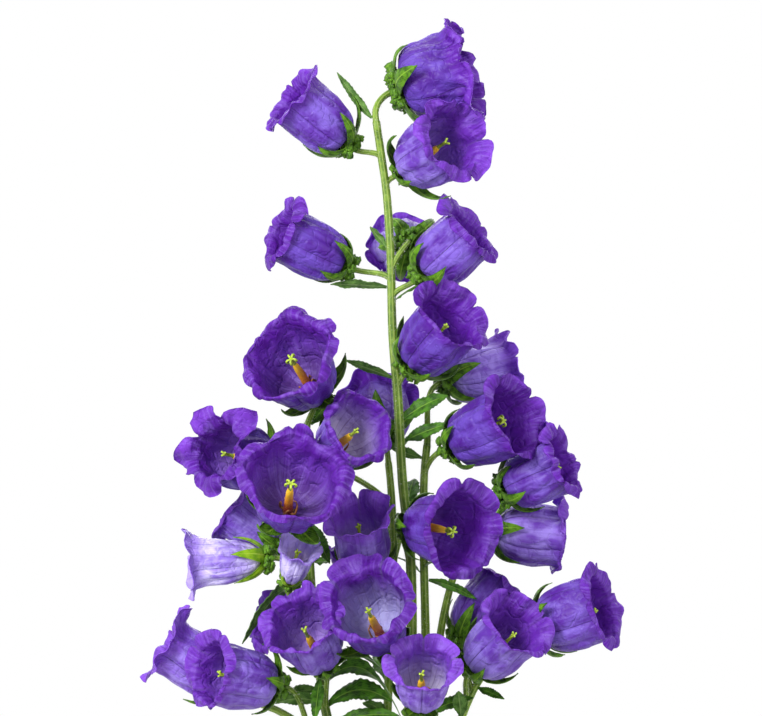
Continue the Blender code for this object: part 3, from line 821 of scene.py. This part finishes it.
def corolla_rows(flower, petal_place):
    """Radius and height of each row of the bell for each column, in full-size millimetres."""
    rng = flower.rng
    body = smooth_line(BODY_PROFILE, BODY_ROWS + 1)
    rise = np.clip(body[:, 1] / body[-1, 1], 0, 1)
    opening = 1 + flower.open * OPENING * np.clip((body[:, 1] - 12) / 25, 0, 1) ** 1.4
    opening = opening * flower.narrowing(rise)
    # u runs from -1 to 1 over each petal
    u = 2 * (petal_place - np.round(petal_place))
    # A lobe folds back along a straight line, so the mouth has a corner between two lobes
    flat = math.cos(math.pi / PETALS) / np.cos(math.pi / PETALS * u) / 0.905 - 1
    corners = 1 + FLAT_SIDES * flat[None] * rise[:, None] ** 2.5
    radius = (body[:, 0] * opening)[:, None] * corners
    height = np.repeat(body[:, 1][:, None], AROUND, axis=1)
    number = np.round(petal_place).astype(int) % PETALS
    # Each lobe has its own length, fold, phase of its waves, lean, bend of its tip and point
    length, fold, phase, side, tip, point = (
        np.array([rng.uniform(low, high) for _ in range(PETALS)])[number]
        for low, high in ((0.84, 1.12), (0.86, 1.12), (0, TURN), (-0.8, 0.8), (0, 1), (0.02, 0.20)))
    point = point + 1.1 * max(flower.lobes - 1, 0)
    lobe = (1 - np.abs(u) ** 7) ** 0.8 * (1 - point * np.abs(u))
    lobe = lobe + 0.05 * np.sin(4.3 * u + phase) * (1 - u**2)
    # Neighbouring petals agree where they meet
    blend = np.abs(u) ** 3
    nearness = (1 + flower.outwards(ring_angles(AROUND)) @ NEAR_SIDE) / 2
    curl = flower.far_fold + (flower.near_fold - flower.far_fold) * nearness
    curl = np.clip(curl * (fold * (1 - blend) + 0.95 * blend), 5, 180)
    reach = NOTCH_LENGTH + (LOBE_LENGTH * flower.lobes * length - NOTCH_LENGTH) * lobe
    shorter = FLUSH_SHORTENING if flower.name in FLUSH else NEAR_SHORTENING
    folded = np.clip((curl - 80) / 70, 0, 1)
    reach = reach * (1 - shorter * np.clip(nearness, 0, 1) ** 1.3 * folded)
    step = reach / LOBE_ROWS
    lean = math.degrees(math.atan2(radius[-1, 0] - radius[-2, 0], height[-1, 0] - height[-2, 0]))
    rows_r, rows_h = [radius], [height]
    r, h = radius[-1], height[-1]
    for row in range(LOBE_ROWS):
        gone = (row + 0.5) * step
        turn = np.clip(gone / TURN_LENGTH, 0, 1)
        turn = turn * turn * (3 - 2 * turn)
        past = np.clip((gone - TURN_LENGTH) / (LOBE_LENGTH - TURN_LENGTH), 0, 1.2)
        wave = np.sin(1.25 * math.pi * u + phase) * (1 - blend)
        angle = lean * (1 - turn) + curl * turn + 60 * tip * past ** 2
        angle = angle + flower.crumple * 11 * wave * turn + 12 * side * u * turn
        angle = np.radians(np.minimum(angle, 184))
        r = r + np.sin(angle) * step
        h = h + np.cos(angle) * step
        rows_r.append(r[None])
        rows_h.append(h[None])
    return np.concatenate(rows_r), np.concatenate(rows_h), u, reach


def crumple_corolla(flower, local, up, at_lobe):
    """Broad dents, soft folds along the bell, fine puckers and a wavy edge."""
    seed = flower.number
    broad = noise_at(local, 15 * MM, seed)
    # The noise changes faster around the bell than along it, so that the folds run along it
    drawn_out = around(1, local[..., 2] / MM * 0.02, ring_angles(AROUND))
    folds = 1 - 3 * np.abs(noise_at(drawn_out, 0.42, seed + 40))
    puckers = noise_at(local, 5.0 * MM, seed + 60)
    frill = noise_at(local, 4.8 * MM, seed + 80)
    dents = 1.1 * broad * up**0.7 + 0.75 * folds * up + 0.18 * puckers + 1.05 * frill * at_lobe
    return local + grid_normals(local, True) * (flower.crumple * dents * MM)[..., None]


def make_corolla(flower):
    petal_place = np.arange(AROUND) / AROUND * PETALS
    radius, height, u, reach = corolla_rows(flower, petal_place)
    row = np.arange(len(radius))[:, None]
    up = np.clip(row / BODY_ROWS, 0, 1)
    # Each petal is puffed between a crease down its middle and one where it meets the next
    puff = (0.70 * np.sin(math.pi * np.abs(u)) ** 2 - 0.55 * np.exp(-(u / 0.09) ** 2)
            - 0.75 * np.exp(-((1 - np.abs(u)) / 0.16) ** 2))
    radius = radius + puff[None] * np.sin(math.pi * np.clip(up * 0.88, 0, 1)) ** 0.7
    angle = ring_angles(AROUND)
    squash = jitter(flower.rng, 0.05) * np.cos(2 * angle + flower.rng.uniform(0, 6))
    radius = radius * (1 + squash[None] * up)
    radius, height = radius * flower.width * MM, height * flower.length * MM
    local = around(radius, height, angle)
    at_lobe = np.clip((row - BODY_ROWS + 2) / LOBE_ROWS, 0, 1)
    local = crumple_corolla(flower, local, up, at_lobe)
    # v runs to the throat along the bell, and past it by the lobes' true length
    past = np.clip(row - BODY_ROWS, 0, None) / LOBE_ROWS
    v = up * THROAT_V + (1 - THROAT_V) * past * reach[None] / LOBE_LENGTH
    v = np.concatenate([v, v[:, :1]], axis=1)
    u_map = np.repeat((np.arange(AROUND + 1) / AROUND * PETALS + 0.5)[None], len(row), axis=0)
    sculpt = Sculpt()
    sculpt.slab(flower.place(local), np.stack([u_map, v], 2), PETAL_WALL, (0, 1), closed=True)
    sides = ["petal_" + flower.tone, f"throat_{flower.throat}_{flower.tone}"]
    sculpt.build(flower.name + "_petals", sides, flower.name)


def sepal_grid(flower, angle, spread, length, bend):
    """One sepal: a keeled, toothed blade that hugs the bell's shoulder and lifts at its tip."""
    path = smooth_line(((3.0, -3.2), (7.4, -1.7), (12.2, 0.6), (16.0, 4.4), (17.9, 9.2),
                        (18.4, 13.6)), SEPAL_ROWS)
    along = np.linspace(0, 1, SEPAL_ROWS)
    path = path[0] + (path - path[0]) * length
    path[:, 0] += spread * along**2
    path[:, 1] -= spread * 0.5 * along**2
    path[:, 0] *= flower.narrowing(np.clip(path[:, 1] / BODY_PROFILE[-1][1], 0, 1))
    half = np.interp(along, (0, 0.14, 0.38, 0.80, 1), (3.2, 5.2, 4.8, 1.9, 0.08))
    half = half * (1 + 0.14 * np.abs((along * 8) % 1 - 0.4) * (along < 0.95))
    across = np.linspace(-1, 1, SEPAL_COLUMNS)
    turn = angle + across[None] * half[:, None] / np.maximum(path[:, 0], 4)[:, None]
    turn = turn + bend * along[:, None] ** 2
    # The keel stands out and the edges roll up a little
    keel = (1 - across**2)[None] * np.sin(math.pi * np.clip(along * 1.1, 0, 1))[:, None] ** 0.5
    points = flower.round(path[:, 0][:, None] + 0.9 * keel, path[:, 1][:, None] - 0.5 * keel, turn)
    ruffle = noise_at(points, 2.2 * MM, flower.number + 3) * (across**2)[None]
    points = points + flower.axis * (ruffle * 0.5 * MM)[..., None]
    return points, uv_grid((across + 1) / 2, along)


def lump_grid(centre, size, seed):
    """A crumpled lump, part of the curled-back green lobe between two sepals."""
    theta = np.linspace(0.03, math.pi - 0.03, LUMP_ROWS)[:, None]
    ball = around(np.sin(theta), np.cos(theta), ring_angles(LUMP_COLUMNS))
    rough = 1 + 1.2 * noise_at(ball, 0.42, seed)
    uv = ring_uv(LUMP_COLUMNS, np.linspace(0.2, 0.7, LUMP_ROWS))
    return centre + ball * rough[..., None] * size, uv


def make_calyx(flower):
    """The receptacle, five sepals, and crumpled lumps in the gaps between them."""
    rng = flower.rng
    sculpt = Sculpt()
    cup = smooth_line(((1.5, -7.5), (1.9, -5.6), (3.6, -3.6), (4.7, -1.6), (4.5, -0.1),
                       (2.4, 0.25), (0.4, 0.3)), CUP_ROWS)
    angle = ring_angles(CUP_COLUMNS)
    ribs = 1 + 0.05 * np.cos(CUP_RIBS * angle)
    points = flower.round(cup[:, 0][:, None] * ribs[None], cup[:, 1][:, None], angle[None])
    sculpt.grid(points, ring_uv(CUP_COLUMNS, cup[:, 1]), 1)
    for k in range(PETALS):
        middle = (k + 0.5) / PETALS * TURN + jitter(rng, 0.08)
        spread = rng.choice((0, 0.4, 1.2, 2.6, 5.0)) * rng.uniform(0.4, 1.1) * (flower.taper < 0.5)
        sepal, uv = sepal_grid(flower, middle, spread, rng.uniform(0.86, 1.25), jitter(rng, 0.20))
        sculpt.slab(sepal[:, ::-1], uv, SEPAL_WALL, (0, 0))
        for n in range(LUMPS):
            low, place = divmod(n, LUMPS_A_LAYER)
            at = k / PETALS * TURN + (place - 1) * 0.30 + jitter(rng, 0.10)
            size = rng.uniform(1.3, 2.5)
            out = rng.uniform(6.2, 9.8) - 2.0 * low
            height = 0.35 * out - 2.6 - 1.3 * size - 1.6 * low - rng.uniform(0, 1.2)
            seed = flower.number * 9 + k * LUMPS + n
            lump, lump_uv = lump_grid(flower.round(out, height, at), size * MM * flower.width, seed)
            sculpt.grid(lump, lump_uv, 1, flip=True)
    sepal_material = "bright_sepal" if flower.tone == "pale" else "sepal"
    sculpt.build(flower.name + "_calyx", [sepal_material, "cup"], flower.stem)


def make_pistil(flower):
    """The pollen-covered column, the style above it and its stigma, with curled stamens."""
    rng = flower.rng
    sculpt = Sculpt()
    lean = (jitter(rng, 1.8), jitter(rng, 1.8))
    bend = [(lean[0] * share, lean[1] * share, height)
            for share, height in ((0, 0.2), (0.2, 8), (0.6, 17), (1, PISTIL_HEIGHT))]
    line = flower.place(smooth_line(bend, PISTIL_ROWS) * MM * (1, 1, flower.length))
    along = np.linspace(0, 1, len(line))
    thick = np.interp(along, (0, 0.10, 0.30, 0.72, 0.84, 0.89, 1), (2.9, 2.7, 2.4, 2.1, 1.6, 1.0, 0.9))
    points, uv = tube_grid(line, thick * MM, PISTIL_COLUMNS)
    rough = noise_at(points, 0.8 * MM, flower.number) * (thick > 1.2)[:, None]
    points = points - grid_normals(points, True) * (0.30 * MM * rough)[..., None]
    uv[..., 1] = along[:, None]
    column = round(len(line) * POLLEN_SHARE)
    sculpt.grid(points[:column + 1], uv[:column + 1], 0, flip=True)
    sculpt.grid(points[column:], uv[column:], 1, flip=True)
    opened = flower.name in OPEN_STIGMAS
    count = 5 if opened else 3
    for k in range(count):
        out = flower.outwards(TURN * (k + jitter(rng, 0.15)) / count)
        if opened:
            steps = ((0, -0.8), (0.6, 1.0), (1.6, 2.0), (2.8, 1.8), (3.2, 0.5), (2.3, -0.1))
        else:
            steps = ((0, -0.8), (0.4, 1.2), (0.7, 2.8), (1.3 + 0.9 * rng.random(), 4.2))
        route = [line[-1] + out * a * MM + flower.axis * b * MM for a, b in steps]
        radii = np.linspace(0.70, 0.62, STIGMA_ROWS) * MM
        add_tube(sculpt, smooth_line(route, STIGMA_ROWS), radii, STIGMA_COLUMNS, 1)
    for k in range(PETALS):
        turn = TURN * (k + 0.5 + jitter(rng, 0.2)) / PETALS
        out = flower.outwards(turn)
        twist = flower.outwards(turn + TURN / 4) * rng.choice((-1, 1))
        rise = rng.uniform(0.5, 1.25)
        steps = ((1.8, 1.2, 0), (4.6, 2.6, 0.2), (4.9, 6.5, 1.0), (4.2, 10, 2.0), (2.9, 9.0, 3.0))
        route = [flower.base + (out * a + flower.axis * b * rise + twist * c) * MM for a, b, c in steps]
        radii = np.interp(np.linspace(0, 1, STAMEN_ROWS), (0, 0.3, 1), (1.1, 0.75, 0.28)) * MM
        add_tube(sculpt, smooth_line(route, STAMEN_ROWS), radii, STAMEN_COLUMNS, 2)
    sculpt.build(flower.name + "_pistil", ["pistil", "stigma", "stamen"], flower.stem)


# ---------------- stems and leaves

def stem_line(name):
    points = np.array(STEMS[name][2], float) * MM
    length = line_lengths(points)[-1]
    return smooth_line(points, max(12, round(length / (3 * MM))))


def stalk_line(flower, line):
    """The same curve as in part.py, from inside the stem to the flower's neck."""
    index = min(int(np.searchsorted(line[:, 2], flower.join * MM)), len(line) - 1)
    start = line[index]
    neck = flower.base - flower.axis * NECK_DEPTH * MM * flower.length
    reach = np.linalg.norm(neck - start)
    first = start + unit(line[index] - line[index - 1]) * STALK_PULL * reach
    second = neck - flower.axis * STALK_PULL * reach
    t = np.linspace(0, 1, max(8, round(reach / (2.2 * MM))))[:, None]
    return (1 - t)**3 * start + 3 * (1 - t)**2 * t * first + 3 * (1 - t) * t**2 * second + t**3 * neck


def make_stem(name, flowers):
    start, end, _ = STEMS[name]
    line = stem_line(name)
    sculpt = Sculpt()
    radii = np.linspace(start, end, len(line)) * MM * STEM_FULLNESS
    wobble = 1 + 0.05 * noise_at(line, 14 * MM, len(name))
    from_top = (line[-1, 2] - line[:, 2]) / MM
    domed = np.sqrt(np.clip(1 - (1 - np.clip(from_top / STEM_TOP, 0, 1)) ** 2, 0.02, 1))
    add_tube(sculpt, line, radii * wobble * domed, STEM_COLUMNS, ribs=0.055)
    covered = [(line, radii * domed)]
    for flower in flowers:
        route = stalk_line(flower, line)
        at_top = flower.join * MM > line[-1, 2] - 2 * STEM_TOP * MM
        if at_top:
            route = np.concatenate([line[-5:-1], route])
        along = np.linspace(0, 1, len(route))
        thick = (STALK_RADIUS + 0.55 * np.exp(-along * 4) + 0.25 * np.exp(-(1 - along) * 9)) * MM
        if at_top:
            thick = thick + (radii[-1] * 1.02 - thick[0]) * np.exp(-along) + 0.3 * MM * along
        add_tube(sculpt, route, thick, STALK_COLUMNS, ribs=0.05)
        covered.append((route, thick))
    sculpt.build(name + "_skin", ["stem"], name)
    make_hairs(name + "_hairs", covered, np.random.default_rng(len(name) * 7))


def make_hairs(name, covered, rng):
    """Fine white hairs: three-sided spikes that stand out from the stem and its stalks."""
    points, faces = [], []
    for line, radii in covered:
        ahead, side, up = line_frames(line)
        count = round(line_lengths(line)[-1] / MM * HAIRS_A_MM)
        place = rng.uniform(0, len(line) - 1.001, count)
        low = place.astype(int)
        part = (place - low)[:, None]
        spot = line[low] * (1 - part) + line[low + 1] * part
        turn = rng.uniform(0, TURN, count)[:, None]
        out = side[low] * np.cos(turn) + up[low] * np.sin(turn)
        along = ahead[low]
        sideways = np.cross(along, out)
        aim = out + along * rng.normal(-0.25, 0.35, (count, 1))
        aim = unit(aim + sideways * rng.normal(0, 0.3, (count, 1)))
        root = spot + out * radii[low][:, None] * 0.93
        size = rng.uniform(0.8, 1.9, (count, 1)) * MM
        behind = root - along * HAIR_WIDTH * 0.5
        corners = np.stack([root + along * HAIR_WIDTH, behind + sideways * HAIR_WIDTH * 0.87,
                            behind - sideways * HAIR_WIDTH * 0.87, root + aim * size], 1)
        first = np.arange(count)[:, None] * 4 + sum(len(p) for p in points)
        points.append(corners.reshape(-1, 3))
        faces += [first + np.array(triangle) for triangle in ((0, 1, 3), (1, 2, 3), (2, 0, 3), (0, 2, 1))]
    mesh = bpy.data.meshes.new(name)
    mesh.from_pydata(np.concatenate(points).tolist(), [], np.concatenate(faces).tolist())
    mesh.materials.append(MATERIALS["hair"])
    obj = add_object(name, mesh)
    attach(obj, "root")


def leaf_line(stem, height, heading, rise, length, droop, roll):
    """Points along a leaf's midrib and its side direction, by the same rule as in part.py."""
    line = stem_line(stem)
    heading, rise, roll = (math.radians(angle) for angle in (heading, rise, roll))
    outwards = np.array([math.cos(heading), math.sin(heading), 0])
    upright = np.array([0, 0, 1.0])
    start, end, _ = STEMS[stem]
    share = np.interp(height * MM, line[:, 2], np.linspace(0, 1, len(line)))
    root = np.array([np.interp(height * MM, line[:, 2], line[:, k]) for k in range(3)])
    root = root + outwards * (start + (end - start) * share + LEAF_GAP) * MM
    forwards = outwards * math.cos(rise) + upright * math.sin(rise)
    side = Matrix.Rotation(roll, 3, Vector(forwards)) @ Vector(np.cross(outwards, upright))
    along = np.linspace(0, 1, LEAF_ROWS)[:, None]
    return root + (forwards * length * along - upright * droop * along**2) * MM, np.array(side)


def make_leaf(name, stem, height, heading, rise, length, width, droop, roll):
    """A lance-shaped blade with a toothed edge, folded at its midrib and waved along its sides."""
    rng = random.Random(name)
    line, side = leaf_line(stem, height, heading, rise, length, droop, roll)
    ahead = unit(np.gradient(line, axis=0))
    side = unit(side - ahead * (ahead @ side)[:, None])
    up = np.cross(side, ahead)
    along = np.linspace(0, 1, LEAF_ROWS)
    breadth = np.interp(along, (0, 0.08, 0.28, 0.48, 0.75, 0.92, 1),
                        (0.22, 0.34, 0.88, 1.0, 0.72, 0.28, 0.03))
    teeth = 1 + 0.26 * (np.abs((along * LEAF_TEETH) % 1 - 0.35) - 0.3) * (along > 0.12)
    spread = width / 2 * MM * LEAF_FULLNESS * breadth * teeth
    across = np.linspace(-1, 1, LEAF_COLUMNS)
    wave = np.sin(along * 9 + rng.uniform(0, 6))[:, None] * 0.16 * across**2 * np.sign(across)
    wave = wave + np.sin(along * 15 + rng.uniform(0, 6))[:, None] * 0.12 * across**2
    fold = 0.36 * np.abs(across)[None] ** 1.3 - 0.26 * np.abs(across)[None] ** 4
    points = (line[:, None] + side[:, None] * (across[None] * spread[:, None])[..., None]
              + up[:, None] * ((fold + wave) * spread[:, None])[..., None])
    pucker = noise_at(points, 3.2 * MM, len(name)) * (np.abs(across) > 0.1)[None]
    points = points + up[:, None] * (pucker * 0.35 * MM)[..., None]
    sculpt = Sculpt()
    sculpt.slab(points[:, ::-1], uv_grid((across + 1) / 2, along)[:, ::-1], LEAF_WALL, (1, 0))
    sculpt.build(name + "_blade", ["leaf_top", "leaf_back"], name if name in LEAVES else stem)


# ---------------- vase and studio

def make_vase():
    """The turned vase at its CAD height, with soft edges."""
    side = smooth_line(VASE_OUTSIDE[3:], 60)
    inside = smooth_line(VASE_INSIDE[:6], 50)
    profile = np.concatenate([VASE_OUTSIDE[:3], side, VASE_RIM, inside, VASE_INSIDE[6:]])
    _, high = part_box("vase")
    profile *= high.z / MM / profile[:, 1].max()
    radius, height = profile.T[..., None] * MM
    sculpt = Sculpt()
    sculpt.grid(around(radius, height, ring_angles(VASE_COLUMNS)), ring_uv(VASE_COLUMNS, profile[:, 1]))
    sculpt.build("vase_glazed", ["glaze"], "vase")


def make_stage():
    """A round pale floor that fades into the white around it."""
    paint = Paint("floor")
    x, y = paint.split(paint.value("TexCoord", output="Object"))
    away = (x ** 2 + y ** 2) ** 0.5
    matt = paint.value("BsdfDiffuse", [("Color", FLOOR_COLOUR)])
    white = paint.value("Emission", [("Strength", 1.0)])
    paint.finish(paint.blend(away.ramp(FADE_FROM, FADE_TO), matt, white))
    mesh = bpy.data.meshes.new("floor")
    edge = [(FLOOR_RADIUS * math.cos(a), FLOOR_RADIUS * math.sin(a), 0) for a in ring_angles(FLOOR_SIDES)]
    mesh.from_pydata(edge, [], [range(FLOOR_SIDES)])
    mesh.materials.append(MATERIALS["floor"])
    add_object("floor", mesh)


def make_lights():
    middle = Vector((0, 0, 0.40))
    for name, place, size, power in (
            ("key", (-0.9, -1.3, 1.05), 0.6, 43),
            ("fill", (1.3, -1.1, 0.75), 1.0, 11),
            ("top", (0.1, 0.5, 1.5), 0.9, 8),
            ("back", (0, 1.9, 0.8), 1.6, 30)):
        light = bpy.data.lights.new(name, "AREA")
        light.shape = "DISK"
        light.size, light.energy = size, power
        obj = add_object(name, light)
        obj.location = place
        obj.rotation_euler = (middle - Vector(place)).to_track_quat("-Z", "Y").to_euler()
        obj.visible_camera = False
    world = bpy.data.worlds.new("studio")
    world.use_nodes = True
    background = world.node_tree.nodes["Background"]
    background.inputs["Color"].default_value = (1, 1, 1, 1)
    background.inputs["Strength"].default_value = 1.0
    scene.world = world
    scene.view_settings.view_transform = "Standard"


def make_camera():
    camera = bpy.data.cameras.new("camera")
    camera.sensor_width = SENSOR_WIDTH
    camera.lens = SENSOR_WIDTH * CAMERA_DISTANCE / VIEW_WIDTH
    obj = add_object("camera", camera)
    obj.location = (0, -CAMERA_DISTANCE, VIEW_BOTTOM + VIEW_HEIGHT / 2)
    obj.rotation_euler = (math.pi / 2, 0, 0)
    scene.camera = obj


def main():
    make_materials()
    flowers = [Flower(name) for name in FLOWERS]
    for flower in flowers:
        make_corolla(flower)
        make_calyx(flower)
        make_pistil(flower)
    for name in STEMS:
        make_stem(name, [flower for flower in flowers if flower.stem == name])
    for name, row in {**LEAVES, **BRACTS}.items():
        make_leaf(name, *row)
    make_vase()
    make_stage()
    make_lights()
    make_camera()


main()
